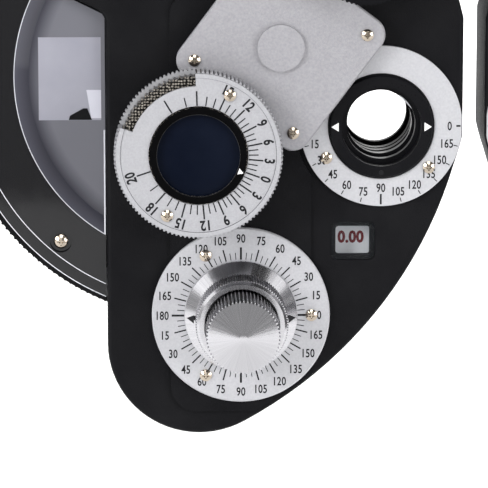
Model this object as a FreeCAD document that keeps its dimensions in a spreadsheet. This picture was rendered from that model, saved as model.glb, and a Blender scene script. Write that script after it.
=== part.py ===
import FreeCAD, Part
import math
import os
import Sketcher

# Manual refractor head: two mirrored halves of lens discs hang on a bridge, one before each eye.
# Millimetres. +Z up, -Y towards the examiner, +Y towards the patient, X = 0 is the mid plane.
# The origin is the middle of the bore that takes the stand's post.
# Inside the helpers, t runs outwards (temporal) from a half's sight line, z up from it, and
# y backwards from the flat front face of the housings.

doc = FreeCAD.newDocument("refractor_head")
V = FreeCAD.Vector

DRIVING_SIZES = [
    ("half_pd", 28.0, "mid plane to sight line, pupil distance 56"),
    ("post_height", 178.0, "sight line up to the middle of the post bore"),
    ("post_back", 16.0, "housing front face back to the post bore"),
    ("post_radius", 8.0, "stand post bore"),
    ("post_grip", 30.0, "length of the post bore"),
    ("wall", 2.5, "housing wall"),
    ("gap", 0.3, "clearance between moving neighbours"),
    ("fit", 0.05, "radial running fit"),
    ("split_depth", 17.6, "joint face between front and rear housing"),
    ("rear_depth", 32.0, "outside of the rear wall"),
    ("pad_rise", 1.2, "raised centre pad of the front face"),
    ("main_out", 54.3, "sight line out to the main shaft"),
    ("main_up", 14.5, "sight line up to the main shaft"),
    ("lens_circle", 56.2, "main shaft to the lens centres"),
    ("shell_radius", 81.0, "round part of the housing"),
    ("side_out", 82.8, "sight line to the flat temporal side"),
    ("nose_in", 24.7, "sight line to the flat nasal side"),
    ("flank_radius", 131.0, "long curve of the nasal flank"),
    ("foot_radius", 28.0, "rounding of the lower lobe"),
    ("wheel_radius", 76.4, "weak sphere wheel over its serrations"),
    ("wheel_front", 11.0, "front face of the weak sphere wheel"),
    ("wheel_back", 17.0, "back face of the weak sphere wheel"),
    ("cover_radius", 73.6, "clear cover and rear housing behind the exposed wheel"),
    ("step_radius", 69.7, "raised band of the clear cover, outside"),
    ("slope_radius", 56.1, "raised band of the clear cover, inside"),
    ("well_radius", 51.8, "sunk inner field of the clear cover"),
    ("disc_radius", 70.0, "strong sphere and auxiliary discs"),
    ("scale_disc_radius", 75.6, "cylinder disc with the power scale"),
    ("lens_radius", 10.6, "lens seat in the discs"),
    ("lens_thick", 1.6, "trial lens"),
    ("stations", 12, "lens seats on each sphere and auxiliary disc"),
    ("cylinder_stations", 17, "lens seats on the cylinder disc, 0.00 to 4.00 by 0.25"),
    ("cylinder_seat", 9.8, "lens seat in the cylinder disc"),
    ("shaft_radius", 5.0, "main shaft"),
    ("knob_out", 42.3, "sight line out to the cylinder knobs"),
    ("knob_down", 57.7, "sight line down to the cylinder knobs"),
    ("axis_plate_radius", 27.0, "cylinder axis scale"),
    ("plate_thick", 1.5, "scale plates"),
    ("flange_radius", 17.0, "axis knob flange"),
    ("barrel_radius", 13.9, "axis knob barrel"),
    ("barrel_front", 19.0, "axis knob front rim before the face"),
    ("power_radius", 11.0, "power knob"),
    ("power_front", 34.5, "power knob edge before the face"),
    ("axis_gear_radius", 17.0, "pitch radius of the axis gears"),
    ("power_gear_radius", 26.75, "pitch radius of the power pinion"),
    ("sight_plate_radius", 24.4, "axis scale round the sight hole"),
    ("pointer_radius", 15.8, "axis pointer ring"),
    ("sight_radius", 12.0, "sight hole"),
    ("baffle_radius", 10.5, "step at the back of the pointer ring"),
    ("exit_radius", 9.7, "sight hole in the rear wall"),
    ("arm_radius", 85.0, "main shaft to the strong sphere and auxiliary knobs"),
    ("small_knob_radius", 13.0, "strong sphere and auxiliary knobs"),
    ("turret_out", 30.5, "sight line out to the turret pivot"),
    ("turret_up", 24.75, "sight line up to the turret pivot"),
    ("turret_arm", 39.3, "turret pivot to each unit's centre"),
    ("turret_half", 23.8, "half side of the turret plate"),
    ("turret_corner", 5.4, "corner radius of the turret plate"),
    ("turret_back", 5.2, "back of the turret plate before the face"),
    ("turret_thick", 2.4, "turret plate"),
    ("prism_radius", 25.1, "rotary prism bezel"),
    ("prism_front", 19.5, "front of the prism bezel before the face"),
    ("prism_glass", 12.4, "rotary prism lens"),
    ("rod_radius", 3.5, "guide rods"),
    ("rod_length", 216.0, "guide rods"),
    ("rod_height", 128.0, "sight line up to the guide rods"),
    ("rack_radius", 5.0, "pitch radius of the pupil distance pinion"),
]


class Dim:
    """A length that keeps the sheet expression it comes from beside its value."""

    def __init__(self, value, text):
        self.value = float(value)
        self.text = text

    def __add__(self, other):
        other = dim(other)
        return Dim(self.value + other.value, "(%s + %s)" % (self.text, other.text))

    def __sub__(self, other):
        other = dim(other)
        return Dim(self.value - other.value, "(%s - %s)" % (self.text, other.text))

    def __mul__(self, other):
        other = dim(other)
        return Dim(self.value * other.value, "(%s * %s)" % (self.text, other.text))

    def __truediv__(self, other):
        other = dim(other)
        return Dim(self.value / other.value, "(%s / %s)" % (self.text, other.text))

    def __neg__(self):
        return Dim(-self.value, "(0 - %s)" % self.text)

    __radd__ = __add__
    __rmul__ = __mul__

    def __rsub__(self, other):
        return dim(other) - self

    def __float__(self):
        return self.value


def dim(number):
    """Any number as a Dim."""
    if isinstance(number, Dim):
        return number
    return Dim(number, "%.6f" % number)


def driving_sheet():
    """The spreadsheet of driving sizes, and each of them as a Dim."""
    sheet = doc.addObject("Spreadsheet::Sheet", "Sizes")
    table = {}
    for row, (alias, value, meaning) in enumerate(DRIVING_SIZES, start=1):
        sheet.set("A%d" % row, meaning)
        sheet.set("B%d" % row, str(value))
        sheet.setAlias("B%d" % row, alias)
        table[alias] = Dim(value, "Sizes." + alias)
    doc.recompute()
    return table


size = driving_sheet()
nodes = []

main_t = size["main_out"]
main_z = size["main_up"]
knob_t = size["knob_out"]
knob_z = -size["knob_down"]
turret_t = size["turret_out"]
turret_z = size["turret_up"]
sight_line = (0, 0)
main_axis = (main_t, main_z)
knob_axis = (knob_t, knob_z)
turret_axis = (turret_t, turret_z)


# ---- helpers -------------------------------------------------------------------------------

def register(item, label):
    """Name a finished sub-part after its node and keep it for export."""
    item.Label = label
    nodes.append(item)
    return item


def place(item, side, spot, depth=0):
    """Put a sub-part on a half: side -1 or +1, spot (t, z) from the sight line, depth backwards."""
    out, up = dim(spot[0]), dim(spot[1])
    across = (size["half_pd"] + out) * side if side else out
    item.setExpression("Placement.Base.x", across.text)
    item.setExpression("Placement.Base.y", (dim(depth) - size["post_back"]).text)
    item.setExpression("Placement.Base.z", (up - size["post_height"]).text)


def plane_of(body, role):
    """One of a body's own origin planes."""
    return [item for item in body.Origin.OriginFeatures if item.Role == role][0]


def new_sketch(body, role, lift=0):
    """A sketch on an origin plane, or on a plane parallel to it at the given lift."""
    sketch = body.newObject("Sketcher::SketchObject", "Sketch")
    sketch.AttachmentSupport = [(plane_of(body, role), "")]
    sketch.MapMode = "FlatFace"
    sketch.setExpression("AttachmentOffset.Base.z", dim(lift).text)
    return sketch


def fix(sketch, element, point, spot):
    """Tie a sketch point to the origin by two dimensions."""
    for kind, length in (("DistanceX", dim(spot[0])), ("DistanceY", dim(spot[1]))):
        index = sketch.addConstraint(Sketcher.Constraint(kind, -1, 1, element, point, length.value))
        sketch.setExpression("Constraints[%d]" % index, length.text)


def draw_polygon(sketch, points):
    """A closed outline of straight lines through the points."""
    count = len(points)
    flat = [V(float(across), float(along), 0) for across, along in points]
    first = sketch.GeometryCount
    for index in range(count):
        line = Part.LineSegment(flat[index], flat[(index + 1) % count])
        sketch.addGeometry(line, False)
    for index in range(count):
        following = first + (index + 1) % count
        sketch.addConstraint(Sketcher.Constraint("Coincident", first + index, 2, following, 1))
    for index in range(count):
        fix(sketch, first + index, 1, points[index])


def draw_circle(sketch, spot, radius):
    """A circle fixed by its centre and radius."""
    middle = V(float(spot[0]), float(spot[1]), 0)
    index = sketch.addGeometry(Part.Circle(middle, V(0, 0, 1), float(radius)), False)
    fix(sketch, index, 3, spot)
    rule = sketch.addConstraint(Sketcher.Constraint("Radius", index, float(radius)))
    sketch.setExpression("Constraints[%d]" % rule, dim(radius).text)


def turned_body(label, profile):
    """A body turned about its Y axis from a closed profile of (radius, y) points."""
    body = doc.addObject("PartDesign::Body", label)
    sketch = new_sketch(body, "XY_Plane")
    draw_polygon(sketch, profile)
    turn = body.newObject("PartDesign::Revolution", "Turned")
    turn.Profile = sketch
    turn.ReferenceAxis = (sketch, ["V_Axis"])
    turn.Angle = 360
    return body


def drill(body, spots, radius, count=1):
    """Round holes right through along Y, repeated about the Y axis."""
    before = solid_volume(body)
    sketch = new_sketch(body, "XZ_Plane")
    for spot in spots:
        draw_circle(sketch, spot, radius)
    hole = body.newObject("PartDesign::Pocket", "Drilled")
    hole.Profile = sketch
    hole.Type = "ThroughAll"
    hole.SideType = "Symmetric"
    if count > 1:
        ring = body.newObject("PartDesign::PolarPattern", "Ring")
        ring.Originals = [hole]
        ring.Axis = (sketch, ["N_Axis"])
        ring.Angle = 360
        ring.Occurrences = count
        body.Tip = ring
    if solid_volume(body) >= before:
        raise RuntimeError(body.Label + ": the drilling removed nothing")


def solid_volume(body):
    """Volume after bringing the document up to date."""
    doc.recompute()
    return body.Shape.Volume


def feature(label, shape, side, spot, depth=0):
    """A sub-part whose shape comes from Part's own functions."""
    item = doc.addObject("Part::Feature", label)
    item.Shape = shape
    place(item, side, spot, depth)
    return register(item, label)


def toothed_prism(radius, teeth, height, front, back):
    """A wheel with straight-sided serrations between two y values."""
    points = []
    for index in range(teeth):
        for step, reach in ((0.0, 0), (0.25, height), (0.5, height), (0.75, 0)):
            angle = 2 * math.pi * (index + step) / teeth
            points.append(V((radius - reach) * math.cos(angle), front, (radius - reach) * math.sin(angle)))
    points.append(points[0])
    return Part.Face(Part.makePolygon(points)).extrude(V(0, back - front, 0))


def tube(outer, inner, front, back, middle=(0, 0)):
    """A round tube or disc along Y between two y values."""
    base = V(middle[0], front, middle[1])
    solid = Part.makeCylinder(outer, back - front, base, V(0, 1, 0))
    if inner:
        solid = solid.cut(Part.makeCylinder(inner, back - front, base, V(0, 1, 0)))
    return solid


def slab(outline, front, back):
    """A flat face in the XZ plane drawn out between two y values."""
    moved = outline.copy()
    moved.translate(V(0, front, 0))
    return moved.extrude(V(0, back - front, 0))


def rounded_face(corners, side):
    """A face from (t, z, corner radius) corners, mirrored to its side."""
    edges = []
    ends = []
    count = len(corners)
    for index in range(count):
        here = V(side * corners[index][0], 0, corners[index][1])
        before = V(side * corners[index - 1][0], 0, corners[index - 1][1])
        after = V(side * corners[(index + 1) % count][0], 0, corners[(index + 1) % count][1])
        towards_before = (before - here).normalize()
        towards_after = (after - here).normalize()
        half_angle = towards_before.getAngle(towards_after) / 2
        radius = corners[index][2]
        reach = radius / math.tan(half_angle)
        start = here + towards_before * reach
        finish = here + towards_after * reach
        ends.append((start, finish))
        if radius:
            bisector = (towards_before + towards_after).normalize()
            crown = here + bisector * (radius / math.sin(half_angle) - radius)
            edges.append((index, Part.Arc(start, crown, finish).toShape()))
    arcs = dict(edges)
    wire = []
    for index in range(count):
        if index in arcs:
            wire.append(arcs[index])
        leave = ends[index][1]
        arrive = ends[(index + 1) % count][0]
        if leave.distanceToPoint(arrive) > 1e-6:
            wire.append(Part.makeLine(leave, arrive))
    return Part.Face(Part.Wire(wire))


def val(name):
    """A driving size as a plain number."""
    return size[name].value


def polar(middle, radius, degrees):
    """The (t, z) point at a radius and angle from a middle."""
    angle = math.radians(degrees)
    return (middle[0] - radius * math.cos(angle), middle[1] + radius * math.sin(angle))


# ---- places and levels ---------------------------------------------------------------------

# Axes as plain (t, z) points.
MAIN = (val("main_out"), val("main_up"))
KNOB = (val("knob_out"), -val("knob_down"))
TURRET = (val("turret_out"), val("turret_up"))
STRONG = polar(MAIN, val("arm_radius"), 128)
AUX = polar(MAIN, val("arm_radius"), 92)
PRISM_ANGLE = 230.96
CROSS_ANGLE = PRISM_ANGLE - 180
PRISM_SPOT = polar(TURRET, val("turret_arm"), PRISM_ANGLE)
CROSS_SPOT = polar(TURRET, val("turret_arm"), CROSS_ANGLE)
PLATE_TURN = 53.2
WINDOW = (8.3, -35.3)
WINDOW_HALF = (5.2, 4.3)
FOOT_CORNER_T = -27.1
ROD_Z = val("rod_height")
POST_Z = val("post_height")
PIVOT_Z = ROD_Z + 21
ARM_T = 18
ARM_WIDTH = 26

# Screws: angles round their plates, one spot on the cover, and how far a head stands out.
SIGHT_SCREWS = (210, 319)
PRISM_SCREWS = (242.6, 62.6)
COVER_SCREW = (96.8, -35.8)
SCREW_RISE = 1.2

# Front and back of the layers, backwards from the housing's face.
AXIS_GEARS = (3, 5)
POWER_GEAR = (5.8, 7.4)
CYLINDER_DISC = (7.8, 10.4)
STRONG_DISC = (18.2, 21.4)
AUX_DISC = (23.2, 26.4)
ROD_DEPTHS = (13, 23)
CROSS_DEPTH = -17.5
DRIVE_BACK = -12.4

CROSS_BORE = 13.6
SHAFT_BORE = val("shaft_radius") + val("fit")
SPHERE_STATIONS = int(val("stations"))
CYLINDER_STATIONS = int(val("cylinder_stations"))


# ---- fasteners -----------------------------------------------------------------------------

def cross_screw(middle, front, head=1.8, sink=1.2, shank=1.4):
    """A round-headed screw with a cross recess, its head's top at y = front."""
    across, up = middle
    dome = Part.makeSphere(head * 1.6, V(across, front + head * 1.6, up))
    solid = tube(head, 0, front, front + sink, middle).common(dome)
    solid = solid.fuse(tube(0.85, 0, front + sink - 0.01, front + sink + shank, middle))
    recess = Part.makeCone(0.75, 0.3, 0.8, V(across, front - 0.01, up), V(0, 1, 0))
    slots = [Part.makeBox(wide, 0.75, high, V(across - wide / 2, front - 0.05, up - high / 2))
             for wide, high in ((head * 1.15, 0.5), (0.5, head * 1.15))]
    return solid.cut([recess] + slots)


# ---- casings -------------------------------------------------------------------------------

def housing_block(side, inset, front, back, with_ring=False):
    """A half's outline drawn out in depth: round body, lower lobe and shoulder for two knobs."""
    lower = rounded_face([
        (FOOT_CORNER_T + inset, 23.9, 0),
        (FOOT_CORNER_T + inset, -54.1 + inset * 0.6, val("flank_radius") - inset),
        (val("side_out") - inset, -114.5 + inset * 1.7, val("foot_radius") - inset),
        (val("side_out") - inset, 23.9, 0)], side)
    edge = val("side_out") - inset
    shoulder = rounded_face([
        (edge, 10, 0), (edge, 34 + inset, 5 + inset),
        (STRONG[0] + 22 - inset, 57 + inset, 14 - inset), (STRONG[0] + 17 - inset, 106 - inset, 24 - inset),
        (AUX[0] - 26 + inset, 123 - inset, 24 - inset), (10, 60, 0), (30, 10, 0)], side)
    exposed = rounded_face([
        (edge, -66, 0), (200, -66, 0), (200, 97 + inset, 0), (edge, 34 + inset, 0)], side)
    inner_side = -val("nose_in") + inset
    beyond_nose = rounded_face([
        (inner_side, -200, 0), (-90, -200, 0), (-90, 200, 0), (inner_side, 200, 0)], side)
    middle = (side * MAIN[0], MAIN[1])
    block = tube(val("shell_radius") - inset, 0, front, back, middle)
    block = block.cut(slab(exposed, front - 1, back + 1))
    block = block.fuse([slab(lower, front, back), slab(shoulder, front, back)])
    if with_ring:
        block = block.fuse(tube(val("cover_radius") - inset, 0, front, back, middle))
    return block.cut(slab(beyond_nose, front - 1, back + 1)).removeSplitter()


def soften(solid, radius, depth):
    """Round the outer edges that lie in the plane y = depth."""
    rim = [edge for edge in solid.Edges
           if all(abs(vertex.Y - depth) < 1e-6 for vertex in edge.Vertexes)
           and abs(edge.BoundBox.YLength) < 1e-6]
    return solid.makeFillet(radius, rim)


def window_face(side, margin):
    """The rounded window over the power scale, grown by a margin."""
    left, right = WINDOW[0] - WINDOW_HALF[0] - margin, WINDOW[0] + WINDOW_HALF[0] + margin
    low, high = WINDOW[1] - WINDOW_HALF[1] - margin, WINDOW[1] + WINDOW_HALF[1] + margin
    corner = 1 + margin / 2
    return rounded_face([(left, low, corner), (right, low, corner), (right, high, corner),
                         (left, high, corner)], side)


def front_housing(side):
    """The black front casing with its raised pad, bores and window."""
    wall = val("wall")
    split = val("split_depth")
    body = soften(housing_block(side, 0, 0, split), 1.4, 0)
    body = body.cut(housing_block(side, wall, wall, split))
    body = body.cut(tube(val("wheel_radius") + 1.2, 0, 4.8, split + 1, (side * MAIN[0], MAIN[1])))
    body = body.cut(tube(27, 0, 5.4, 7.8, (side * KNOB[0], KNOB[1])))
    pad = rounded_face([
        (knob_t.value - 21.3, -88, 8), (knob_t.value + 21.3, -88, 8),
        (knob_t.value + 21.3, 40, 6), (knob_t.value - 21.3, 40, 6)], side)
    pad = slab(pad, -val("pad_rise"), 0.5).common(housing_block(side, 1.6, -3, 3))
    pad = pad.cut(tube(25.9, 0, -3, 3))
    body = body.fuse(pad)
    bosses = [tube(8, 0, wall - 0.5, 6.6, (side * MAIN[0], MAIN[1]))]
    bosses += [tube(6, 0, wall - 0.5, 12, (side * spot[0], spot[1])) for spot in (STRONG, AUX)]
    body = body.fuse(bosses)
    holes = [tube(4, 0, wall + 0.1, 8, (side * MAIN[0], MAIN[1])), tube(14.05, 0, -3, 4)]
    holes.append(tube(5.05, 0, -3, 4, (side * KNOB[0], KNOB[1])))
    holes.append(tube(4.05, 0, -3, 4, (side * turret_t.value, turret_z.value)))
    holes += [tube(3.05, 0, -3, 14, (side * spot[0], spot[1])) for spot in (STRONG, AUX)]
    holes += [slab(window_face(side, 0), -3, 4), slab(window_face(side, 1.6), -3, 1.3)]
    return body.cut(holes).removeSplitter()


def rear_housing(side):
    """The rear casing; behind the exposed wheel it is round."""
    wall = val("wall")
    split = val("split_depth")
    back = val("rear_depth")
    body = soften(housing_block(side, 0, split, back, True), 1.2, back)
    body = body.cut(housing_block(side, wall, split, back - wall, True))
    boss = tube(8, 0, 28.3, back - wall + 0.5, (side * MAIN[0], MAIN[1]))
    body = body.fuse(boss)
    bore = tube(4, 0, 27, back - wall + 0.1, (side * MAIN[0], MAIN[1]))
    sight = tube(val("exit_radius"), 0, back - 4, back + 1)
    body = body.cut([bore, sight])
    inside = housing_block(side, wall, 0, back - wall, True)
    arm_start = side * ARM_T - ARM_WIDTH / 2
    arm = Part.makeBox(ARM_WIDTH, 9, 36, V(arm_start, 20, 84)).cut(inside)
    body = body.fuse([arm, Part.makeBox(ARM_WIDTH, 20, 20, V(arm_start, 8, ROD_Z - 10))])
    rack_foot = ROD_Z + (5.3 if side < 0 else -8.3)
    rack_start = min(side * 31, -side * 40)
    rack = Part.makeBox(71, 1.6, 3, V(rack_start, 5.9, rack_foot))
    body = body.fuse([rack, Part.makeBox(ARM_WIDTH, 2.2, 3, V(arm_start, 5.9, rack_foot))])
    rods = [Part.makeCylinder(val("rod_radius") + 0.05, 60, V(side * ARM_T - 30, y, ROD_Z), V(1, 0, 0))
            for y in ROD_DEPTHS]
    return body.cut(rods).removeSplitter()


def clear_cover(side):
    """The clear cover over the exposed face of the weak sphere wheel."""
    profile = [(0, 4.2), (val("well_radius"), 4.2), (val("slope_radius"), 2.6), (val("step_radius"), 2.6),
               (val("step_radius"), 4.0), (val("cover_radius"), 4.0), (val("cover_radius"), 7.0),
               (72.2, 7.0), (72.2, 5.4), (68.3, 5.4), (68.3, 4.0), (56.7, 4.0), (52.2, 5.4), (0, 5.4)]
    points = [V(radius, y, 0) for radius, y in profile]
    cover = Part.Face(Part.makePolygon(points + [points[0]])).revolve(V(0, 0, 0), V(0, 1, 0), 360)
    cover.translate(V(side * MAIN[0], 0, MAIN[1]))
    edge = val("side_out") + 0.3
    exposed = rounded_face([(edge, -80, 0), (200, -80, 0), (200, 91, 0), (edge, 33.2, 0)], side)
    cover = cover.common(slab(exposed, 0, 20))
    spot = (side * COVER_SCREW[0], COVER_SCREW[1])
    cover = cover.cut(tube(3.3, 0, 0, 4, spot)).fuse(tube(4.2, 0, 4, 7, spot))
    return cover.cut(tube(0.9, 0, 0, 12, spot))


# ---- lens discs ----------------------------------------------------------------------------

def stations(side, radius, front, back, count):
    """Round plugs at a disc's lens stations; the first station is on the sight line."""
    start = math.atan2(-MAIN[1], -side * MAIN[0])
    plugs = []
    for index in range(count):
        angle = start + 2 * math.pi * index / count
        middle = (val("lens_circle") * math.cos(angle), val("lens_circle") * math.sin(angle))
        plugs.append(tube(radius, 0, front, back, middle))
    return plugs


def lens_set(label, side, front, radius, count):
    """The lenses of a disc, one in each seat but the open one at the sight line."""
    lenses = stations(side, radius, front, front + val("lens_thick"), count)
    return feature(label, Part.makeCompound(lenses[1:]), side, main_axis)


def weak_sphere_wheel(label, side):
    """The serrated wheel that is turned at its exposed rim."""
    front = val("wheel_front")
    back = val("wheel_back")
    wheel = toothed_prism(val("wheel_radius"), 240, 0.7, front, back)
    hub, web = 11, 70.5
    wheel = wheel.cut([tube(web, hub, front - 1, front + 1.2), tube(web, hub, back - 1.4, back + 1)])
    wheel = wheel.cut(tube(SHAFT_BORE, 0, 0, 30))
    seats = stations(side, val("lens_radius"), 0, 30, SPHERE_STATIONS)
    return feature(label, wheel.cut(seats), side, main_axis)


def driven_disc(label, side, layer, hub):
    """A lens disc with gear teeth round its edge and a longer hub."""
    disc = toothed_prism(val("disc_radius"), 200, 0.8, *layer)
    disc = disc.fuse(tube(11, 0, *hub))
    disc = disc.cut(tube(SHAFT_BORE, 0, hub[0] - 1, hub[1] + 1))
    seats = stations(side, val("lens_radius"), 0, 40, SPHERE_STATIONS)
    return feature(label, disc.cut(seats), side, main_axis)


def cylinder_disc(label, side):
    """Thin disc with the cylinder lenses; its rim carries the power scale, its hub a gear."""
    gear_radius = val("lens_circle") - val("cylinder_seat") - 0.1
    gear = toothed_prism(gear_radius, 136, 0.7, POWER_GEAR[0], CYLINDER_DISC[0])
    disc = tube(val("scale_disc_radius"), 0, *CYLINDER_DISC).fuse([gear, tube(11, 0, 6.8, 10.7)])
    seats = stations(side, val("cylinder_seat"), 7.7, 12, CYLINDER_STATIONS)
    disc = disc.cut(seats + [tube(SHAFT_BORE, 0, 0, 20), tube(8.3, 0, 5, 6.8)])
    return feature(label, disc, side, main_axis)


def small_knob(label, side, spot, layer):
    """Knurled knob on a shaft with the pinion that drives the disc in a layer."""
    reach = val("small_knob_radius")
    front, back = layer[0] + 0.2, layer[1] - 0.2
    knob = toothed_prism(reach, 60, 0.5, -15, -3)
    knob = knob.fuse([tube(reach - 0.9, 0, -16, -14.9), tube(reach - 1.2, 0, -3, -1)])
    knob = knob.cut(tube(7.5, 0, -17, -15))
    pinion = toothed_prism(val("arm_radius") - val("disc_radius") - val("gap"), 42, 0.8, front, back)
    knob = knob.fuse([tube(3, 0, -2, back), pinion])
    return feature(label, knob.removeSplitter(), side, spot)


# ---- cylinder controls ---------------------------------------------------------------------

def power_knob(label, side):
    """Inner cylinder power knob: fine knurl, shallow cone front, shaft and pinion."""
    reach = val("power_radius")
    front = -val("power_front")
    body = toothed_prism(reach, 60, 0.6, front, -8)
    cone = Part.makeCone(reach - 0.5, 1.2, 1.5, V(0, front + 0.001, 0), V(0, -1, 0))
    shaft = tube(3, 0, -9, 7.4)
    pinion = toothed_prism(val("power_gear_radius") - 0.15, 84, 0.8, *POWER_GEAR)
    return feature(label, body.fuse([cone, shaft, pinion]), side, knob_axis)


def axis_knob(label, side):
    """Outer cylinder axis knob: sloped flange, fluted cup and hollow shaft with its gear."""
    reach = val("barrel_radius")
    front = -val("barrel_front")
    rim = val("flange_radius")
    slope = rim - reach + 0.3
    cup = toothed_prism(reach, 110, 0.5, front + 0.9, -6)
    cup = cup.fuse(Part.makeCone(reach - 1.1, reach - 0.3, 1, V(0, front, 0), V(0, 1, 0)))
    flange = Part.makeCone(reach - 0.3, rim, slope, V(0, -4.5 - slope, 0), V(0, 1, 0))
    flange = flange.fuse(tube(rim, 0, -4.5, -3.1))
    shaft = tube(5, 0, -3.2, 5)
    gear = toothed_prism(val("axis_gear_radius") - 0.15, 60, 0.7, *AXIS_GEARS)
    knob = cup.fuse([flange, shaft, gear])
    knob = knob.cut([tube(3.05, 0, -20, 6), tube(11.4, 0, -20, -7.5)])
    return feature(label, knob.removeSplitter(), side, knob_axis)


def axis_plate(label, side):
    """Flat scale plate under the axis knob with three screw holes."""
    back = -size["pad_rise"]
    front = back - size["plate_thick"]
    reach = size["axis_plate_radius"]
    bore = size["shaft_radius"] + size["fit"]
    edge = 0.4
    body = turned_body(label, [
        (bore, front), (reach - edge, front), (reach, front + edge), (reach, back), (bore, back)])
    drill(body, [(-21.4 * side, 0)], 0.9, 3)
    place(body, side, knob_axis)
    return register(body, label)


def aperture_plate(label, side):
    """Axis scale round the sight hole, trimmed to the housing's edge."""
    plate = tube(val("sight_plate_radius"), val("pointer_radius") + 0.3, -val("plate_thick"), 0)
    for angle in SIGHT_SCREWS:
        spot = polar((0, 0), 19.1, angle)
        plate = plate.cut(tube(0.9, 0, -3, 1, (side * spot[0], spot[1])))
    return feature(label, plate.common(housing_block(side, 0.5, -3, 1)), side, sight_line)


def pointer_ring(label, side):
    """Black ring that carries the two axis pointers, with its gear behind the wall."""
    body = turned_body(label, [
        (size["sight_radius"], -3.0), (size["pointer_radius"] - 0.6, -3.0),
        (size["pointer_radius"], -2.4), (size["pointer_radius"], -0.3), (14, -0.3),
        (14, 2.9), (size["axis_gear_radius"] - 0.6, 2.9), (size["axis_gear_radius"] - 0.6, 5),
        (size["baffle_radius"], 5), (size["baffle_radius"], 2.4), (size["sight_radius"], 2.4)])
    place(body, side, sight_line)
    return register(body, label)


# ---- turret --------------------------------------------------------------------------------

def turret_plate(label, side):
    """Square swinging plate with rounded corners, its post and the two unit carriers."""
    back = -val("turret_back")
    front = back - val("turret_thick")
    half = val("turret_half")
    corners = []
    for quarter in range(4):
        angle = math.radians(PLATE_TURN + 45 + 90 * quarter)
        far = half * math.sqrt(2)
        corners.append((-far * math.cos(angle), far * math.sin(angle), val("turret_corner")))
    plate = slab(rounded_face(corners, side), front, back)
    plate = plate.makeChamfer(0.4, [edge for edge in plate.Edges
                                    if abs(edge.BoundBox.YMax - front) < 1e-6
                                    and edge.BoundBox.YLength < 1e-6])
    prism = polar((0, 0), val("turret_arm"), PRISM_ANGLE)
    cross = polar((0, 0), val("turret_arm"), CROSS_ANGLE)
    carriers = [tube(16, 0, front, back, (side * prism[0], prism[1])),
                tube(17, 0, front, back, (side * cross[0], cross[1]))]
    post = [tube(7, 0, front - 1.5, -1.5), tube(4, 0, -2, 2.4)]
    body = plate.fuse(carriers + post).removeSplitter()
    holes = [tube(14.05, 0, -20, 10, (side * prism[0], prism[1])),
             tube(CROSS_BORE + 0.05, 0, -20, 10, (side * cross[0], cross[1]))]
    corner_reach = (half - val("turret_corner")) * math.sqrt(2)
    screws = []
    for quarter in range(4):
        spot = polar((0, 0), corner_reach, PLATE_TURN + 45 + 90 * quarter)
        screws.append(cross_screw((side * spot[0], spot[1]), front - SCREW_RISE))
    return feature(label, body.cut(holes).fuse(screws), side, turret_axis)


def prism_bezel(label, side):
    """Serrated bezel with its scale face; a gap in its rim shows the drive ring."""
    front = -val("prism_front")
    reach = val("prism_radius")
    back = -10.7
    bezel = toothed_prism(reach, 120, 0.5, front + 0.8, back)
    bezel = bezel.fuse(tube(reach - 0.6, 0, front, front + 1))
    bezel = bezel.fuse([tube(16, 0, back - 0.1, -8.2), tube(14, 0, -8.3, -5.4)])
    cavity = [tube(24, 0, front + 1.7, DRIVE_BACK), tube(14.8, 0, front - 1, DRIVE_BACK)]
    bezel = bezel.cut(cavity + [tube(12.9, 0, -14, 0), tube(reach - 1.9, 14.8, front - 1, front + 0.3)])
    wedge = [V(0, front - 1, 0)]
    for angle, far in ((160, 40), (125, 60), (92, 40), (92, 0)):
        spot = polar((0, 0), far, angle)
        wedge.append(V(side * spot[0], front - 1, spot[1]))
    wedge = Part.Face(Part.makePolygon(wedge)).extrude(V(0, DRIVE_BACK - front + 1, 0))
    bezel = bezel.cut(wedge.common(tube(60, 20.7, front - 2, 0)))
    screws = []
    for angle in PRISM_SCREWS:
        spot = polar((0, 0), 20.3, angle)
        screws.append(cross_screw((side * spot[0], spot[1]), front + 0.3 - SCREW_RISE, shank=0.9))
    return feature(label, bezel.fuse(screws), side, PRISM_SPOT)


def prism_rotor(label, side):
    """Inner ring with the prism pointer, turned by its knurled drive ring inside the bezel."""
    front = -val("prism_front")
    inner = tube(14.5, 0, front - 0.4, DRIVE_BACK - 0.3)
    drive = toothed_prism(23.7, 90, 0.5, front + 2, DRIVE_BACK - 0.3)
    return feature(label, inner.fuse(drive).cut(tube(val("prism_glass"), 0, -30, 0)), side, PRISM_SPOT)


def prism_lens(label, side):
    """The two counter-rotating prism glasses seen as one lens."""
    front = -val("prism_front")
    reach = val("prism_glass")
    glasses = [tube(reach, 0, front + 1.6, front + 3.4), tube(reach, 0, front + 4.4, front + 6.2)]
    return feature(label, Part.makeCompound(glasses), side, PRISM_SPOT)


def cross_cylinder_ring(label, side):
    """Ring that turns in the turret plate and holds the flip lens on two pivots."""
    ring = toothed_prism(16.6, 72, 0.4, -19.5, -15.5)
    ring = ring.fuse([tube(CROSS_BORE + 1.5, 0, -16, -8.2), tube(CROSS_BORE, 0, -9, -5.4)])
    bore = Part.makeCylinder(1.05, 40, V(-20, CROSS_DEPTH, 0), V(1, 0, 0))
    nests = [Part.makeBox(8, 12, 6.4, V(x, -26, -3.2)) for x in (13.4, -21.4)]
    ring = ring.cut([tube(12.4, 0, -30, 0), bore] + nests)
    return feature(label, ring, side, CROSS_SPOT)


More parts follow.
